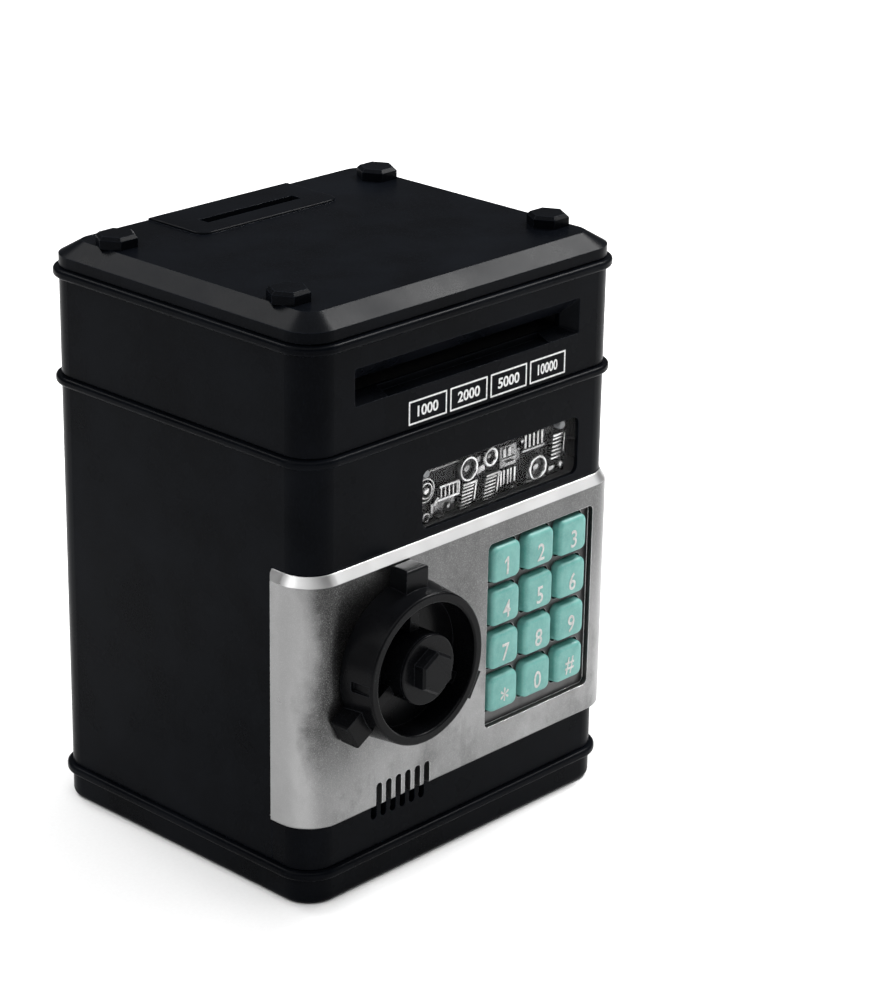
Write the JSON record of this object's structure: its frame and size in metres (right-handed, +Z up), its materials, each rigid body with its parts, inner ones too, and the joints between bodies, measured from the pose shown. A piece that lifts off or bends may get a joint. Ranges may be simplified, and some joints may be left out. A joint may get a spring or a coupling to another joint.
{
  "type": "toy cash machine savings bank",
  "caption": "Upright toy cash machine bank with coin and note slots, keypad, turning dial, hinged locking front door, motor note feed and battery compartment.",
  "frame": {"origin": "middle of the flat underside of the base, below the middle of the case walls", "axes": "+Z up, -Y out of the front with the door and keypad, +X to the right of someone who looks at the front, towards the keypad"},
  "size_m": [0.1383, 0.1344, 0.1888],
  "materials": {
    "case_black": "fine satin moulded surface",
    "inner_black": "plain moulded",
    "dial_black": "satin moulded",
    "silver_paint": "metallic silver paint, lightly mottled",
    "chrome_relief": "vacuum plated, dark smoke",
    "window_clear": "clear polished plastic",
    "key_mint": "soft gloss mint green",
    "key_rubber": "translucent grey",
    "roller_rubber": "ground",
    "board_green": "solder mask",
    "parts_black": "moulded",
    "lamp_lens": "tinted clear",
    "cone_paper": "pressed pulp",
    "screw_steel": "zinc plated",
    "shaft_steel": "ground",
    "plated_steel": "nickel plated",
    "coil_copper": "enamelled winding",
    "gear_white": "natural acetal",
    "gear_brass": "turned",
    "cell_jacket": "printed sleeve, plain"
  },
  "bodies": {
    "case": {"base_tray": "case_black", "main_body": "case_black", "upper_housing": "case_black", "lid": "case_black", "lid_bolts": "case_black", "coin_chute": "inner_black", "window_lens": "window_clear", "window_relief": "chrome_relief", "status_leds": "lamp_lens", "bay_divider": "inner_black", "main_board": "board_green", "board_components": "parts_black", "board_screws": "screw_steel", "base_screws": "screw_steel", "housing_screws": "screw_steel", "lid_screws": "screw_steel", "feed_chassis": "inner_black", "feed_top_guide": "inner_black", "idler_axle": "shaft_steel", "bill_motor": "plated_steel", "battery_box": "inner_black", "battery_contacts": "plated_steel", "aa_cells": "cell_jacket"},
    "door": {"door_panel": "case_black", "fascia_plate": "silver_paint", "key_mat": "key_rubber", "keypad_board": "board_green", "keypad_screws": "screw_steel", "hinge_pins": "shaft_steel", "speaker_frame": "parts_black", "speaker_cone": "cone_paper", "solenoid_frame": "plated_steel", "solenoid_coil": "coil_copper"},
    "dial": {"dial_knob": "dial_black", "dial_cap": "dial_black", "dial_shaft": "shaft_steel", "latch_cam": "inner_black", "cam_screw": "screw_steel"},
    "lock_plunger": {"solenoid_plunger": "shaft_steel"},
    "drive_roller": {"drive_shaft": "shaft_steel", "drive_rollers": "roller_rubber", "roller_gear": "gear_white"},
    "pinch_roller": {"pinch_shaft": "shaft_steel", "pinch_rollers": "roller_rubber"},
    "idler": {"compound_gear": "gear_white"},
    "pinion": {"motor_pinion": "gear_brass"},
    "battery_door": {"battery_cover": "case_black", "battery_screw": "screw_steel"},
    "key_1": {"key_1": "key_mint"},
    "key_2": {"key_2": "key_mint"},
    "key_3": {"key_3": "key_mint"},
    "key_4": {"key_4": "key_mint"},
    "key_5": {"key_5": "key_mint"},
    "key_6": {"key_6": "key_mint"},
    "key_7": {"key_7": "key_mint"},
    "key_8": {"key_8": "key_mint"},
    "key_9": {"key_9": "key_mint"},
    "key_star": {"key_star": "key_mint"},
    "key_0": {"key_0": "key_mint"},
    "key_hash": {"key_hash": "key_mint"}
  },
  "joints": [
    {"name": "door_hinge", "type": "hinge", "parent": "case", "child": "door", "pos_m": [0.0649, -0.0432, 0.06], "axis": [0, 0, 1], "range_deg": [0, 95]},
    {"name": "dial_turn", "type": "hinge", "parent": "door", "child": "dial", "pos_m": [-0.0315, -0.06, 0.073], "axis": [0, 1, 0], "range_deg": [-90, 0]},
    {"name": "lock_plunger_slide", "type": "slide", "parent": "door", "child": "lock_plunger", "axis": [0, 1, 0], "range_m": [0, 0.004]},
    {"name": "drive_roller_spin", "type": "hinge", "parent": "case", "child": "drive_roller", "pos_m": [0, -0.014, 0.153], "axis": [1, 0, 0], "continuous": true},
    {"name": "pinch_roller_spin", "type": "hinge", "parent": "case", "child": "pinch_roller", "pos_m": [0, -0.014, 0.1662], "axis": [1, 0, 0], "continuous": true},
    {"name": "idler_spin", "type": "hinge", "parent": "case", "child": "idler", "pos_m": [-0.05, -0.02402, 0.14639], "axis": [1, 0, 0], "continuous": true},
    {"name": "pinion_spin", "type": "hinge", "parent": "case", "child": "pinion", "pos_m": [-0.05, -0.036, 0.147], "axis": [1, 0, 0], "continuous": true},
    {"name": "battery_cover_pull", "type": "slide", "parent": "case", "child": "battery_door", "axis": [0, 1, 0], "range_m": [0, 0.02]},
    {"name": "key_1_press", "type": "slide", "parent": "door", "child": "key_1", "axis": [0, 1, 0], "range_m": [0, 0.0015], "stiffness_N_per_m": 600},
    {"name": "key_2_press", "type": "slide", "parent": "door", "child": "key_2", "axis": [0, 1, 0], "range_m": [0, 0.0015], "stiffness_N_per_m": 600},
    {"name": "key_3_press", "type": "slide", "parent": "door", "child": "key_3", "axis": [0, 1, 0], "range_m": [0, 0.0015], "stiffness_N_per_m": 600},
    {"name": "key_4_press", "type": "slide", "parent": "door", "child": "key_4", "axis": [0, 1, 0], "range_m": [0, 0.0015], "stiffness_N_per_m": 600},
    {"name": "key_5_press", "type": "slide", "parent": "door", "child": "key_5", "axis": [0, 1, 0], "range_m": [0, 0.0015], "stiffness_N_per_m": 600},
    {"name": "key_6_press", "type": "slide", "parent": "door", "child": "key_6", "axis": [0, 1, 0], "range_m": [0, 0.0015], "stiffness_N_per_m": 600},
    {"name": "key_7_press", "type": "slide", "parent": "door", "child": "key_7", "axis": [0, 1, 0], "range_m": [0, 0.0015], "stiffness_N_per_m": 600},
    {"name": "key_8_press", "type": "slide", "parent": "door", "child": "key_8", "axis": [0, 1, 0], "range_m": [0, 0.0015], "stiffness_N_per_m": 600},
    {"name": "key_9_press", "type": "slide", "parent": "door", "child": "key_9", "axis": [0, 1, 0], "range_m": [0, 0.0015], "stiffness_N_per_m": 600},
    {"name": "key_star_press", "type": "slide", "parent": "door", "child": "key_star", "axis": [0, 1, 0], "range_m": [0, 0.0015], "stiffness_N_per_m": 600},
    {"name": "key_0_press", "type": "slide", "parent": "door", "child": "key_0", "axis": [0, 1, 0], "range_m": [0, 0.0015], "stiffness_N_per_m": 600},
    {"name": "key_hash_press", "type": "slide", "parent": "door", "child": "key_hash", "axis": [0, 1, 0], "range_m": [0, 0.0015], "stiffness_N_per_m": 600}
  ],
  "couplings": [
    {"joint": "idler_spin", "follows": "drive_roller_spin", "ratio": -3},
    {"joint": "pinion_spin", "follows": "drive_roller_spin", "ratio": 9},
    {"joint": "pinch_roller_spin", "follows": "drive_roller_spin", "ratio": -1.1667}
  ]
}
